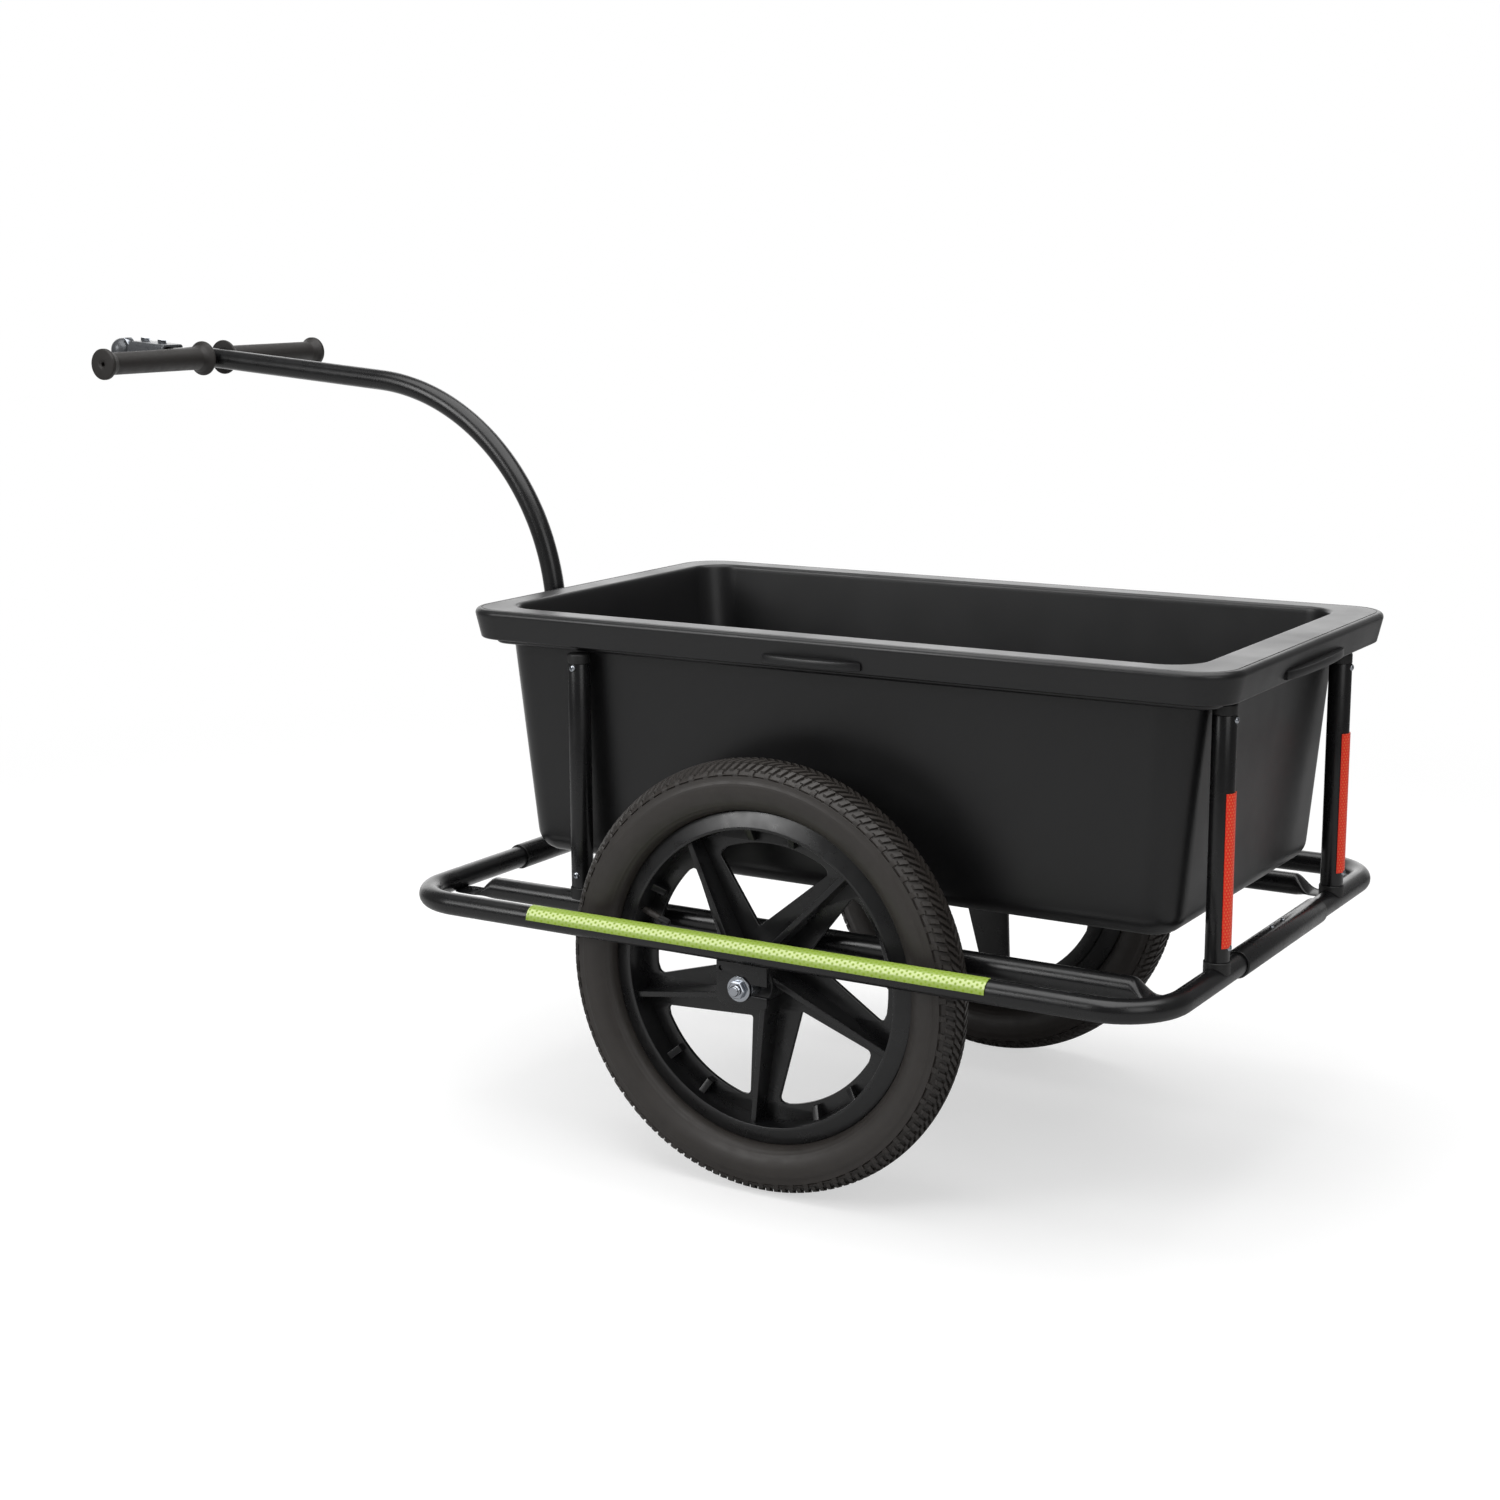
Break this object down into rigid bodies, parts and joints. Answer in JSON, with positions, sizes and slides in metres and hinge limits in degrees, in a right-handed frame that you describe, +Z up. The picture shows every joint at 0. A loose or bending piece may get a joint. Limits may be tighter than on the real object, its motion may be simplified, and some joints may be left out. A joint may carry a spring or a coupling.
{
  "type": "bike trailer",
  "caption": "Two-wheeled bike trailer with a lift-off rectangular tub on a bent tube frame, moulded spoked wheels and a goose-neck tow bar with push handle and ball coupling.",
  "frame": {"origin": "on the ground under the middle of the whole trailer, from the tub's rear hand-hold to the coupling's nose", "axes": "+X towards the tow bar's coupling, +Y to the trailer's left side, +Z up"},
  "size_m": [1.4814, 0.6102, 0.7708],
  "materials": {
    "frame_paint": "black powder coat on steel tube, satin",
    "coupling_paint": "mid grey paint on pressed steel, satin",
    "fitting_plastic": "black moulded plastic, matte",
    "tub_plastic": "black moulded plastic with a fine grain",
    "wheel_plastic": "black moulded plastic, satin",
    "bush_plastic": "natural slippery plastic",
    "tyre_rubber": "brown-black tread rubber",
    "tube_rubber": "black rubber",
    "grip_rubber": "brown-black soft rubber, matte",
    "zinc_steel": "bright zinc plate",
    "spring_steel": "drawn spring wire",
    "lime_film": "lime reflective film with a fine cell pattern",
    "red_film": "red reflective film with a fine cell pattern"
  },
  "bodies": {
    "frame": {"left_side_frame": "frame_paint", "right_side_frame": "frame_paint", "left_inner_rail": "frame_paint", "right_inner_rail": "frame_paint", "left_outer_bracket": "frame_paint", "right_outer_bracket": "frame_paint", "left_inner_bracket": "frame_paint", "right_inner_bracket": "frame_paint", "front_sleeve": "frame_paint", "rear_sleeve": "frame_paint", "front_left_post": "frame_paint", "front_right_post": "frame_paint", "rear_left_post": "frame_paint", "rear_right_post": "frame_paint", "front_left_foot": "fitting_plastic", "front_right_foot": "fitting_plastic", "rear_left_foot": "fitting_plastic", "rear_right_foot": "fitting_plastic", "front_left_cap": "fitting_plastic", "front_right_cap": "fitting_plastic", "rear_left_cap": "fitting_plastic", "rear_right_cap": "fitting_plastic", "left_lime_strip": "lime_film", "right_lime_strip": "lime_film", "left_red_strip": "red_film", "right_red_strip": "red_film", "left_axle": "zinc_steel", "right_axle": "zinc_steel", "left_axle_sleeve": "zinc_steel", "right_axle_sleeve": "zinc_steel", "left_outer_nut": "zinc_steel", "right_outer_nut": "zinc_steel", "left_inner_nut": "zinc_steel", "right_inner_nut": "zinc_steel", "left_washer": "zinc_steel", "right_washer": "zinc_steel", "tow_bar": "frame_paint", "tow_bar_socket": "frame_paint", "tow_bar_bolt": "zinc_steel", "tow_bar_nut": "zinc_steel", "left_handle_tube": "frame_paint", "right_handle_tube": "frame_paint", "left_grip": "grip_rubber", "right_grip": "grip_rubber", "coupling_plate": "coupling_paint", "coupling_head": "coupling_paint", "rear_coupling_bolt": "zinc_steel", "front_coupling_bolt": "zinc_steel", "latch_pin": "zinc_steel", "latch_spring": "spring_steel"},
    "left_wheel": {"left_wheel_rim": "wheel_plastic", "left_hub_bush": "bush_plastic", "left_tyre": "tyre_rubber", "left_inner_tube": "tube_rubber"},
    "right_wheel": {"right_wheel_rim": "wheel_plastic", "right_hub_bush": "bush_plastic", "right_tyre": "tyre_rubber", "right_inner_tube": "tube_rubber"},
    "tub": {"tub": "tub_plastic"},
    "latch": {"latch_lever": "zinc_steel"}
  },
  "joints": [
    {"name": "left_wheel_spin", "type": "hinge", "parent": "frame", "child": "left_wheel", "pos_m": [-0.30073, 0.249, 0.207], "axis": [0, 1, 0], "continuous": true},
    {"name": "right_wheel_spin", "type": "hinge", "parent": "frame", "child": "right_wheel", "pos_m": [-0.30073, -0.249, 0.207], "axis": [0, 1, 0], "continuous": true},
    {"name": "tub_lift", "type": "slide", "parent": "frame", "child": "tub", "axis": [0, 0, 1], "range_m": [0, 0.3]},
    {"name": "latch_turn", "type": "hinge", "parent": "frame", "child": "latch", "pos_m": [0.70919, 0, 0.74477], "axis": [0, -1, 0], "range_deg": [0, 28], "stiffness_Nm_per_rad": 0.2, "springref_deg": -17.19}
  ]
}
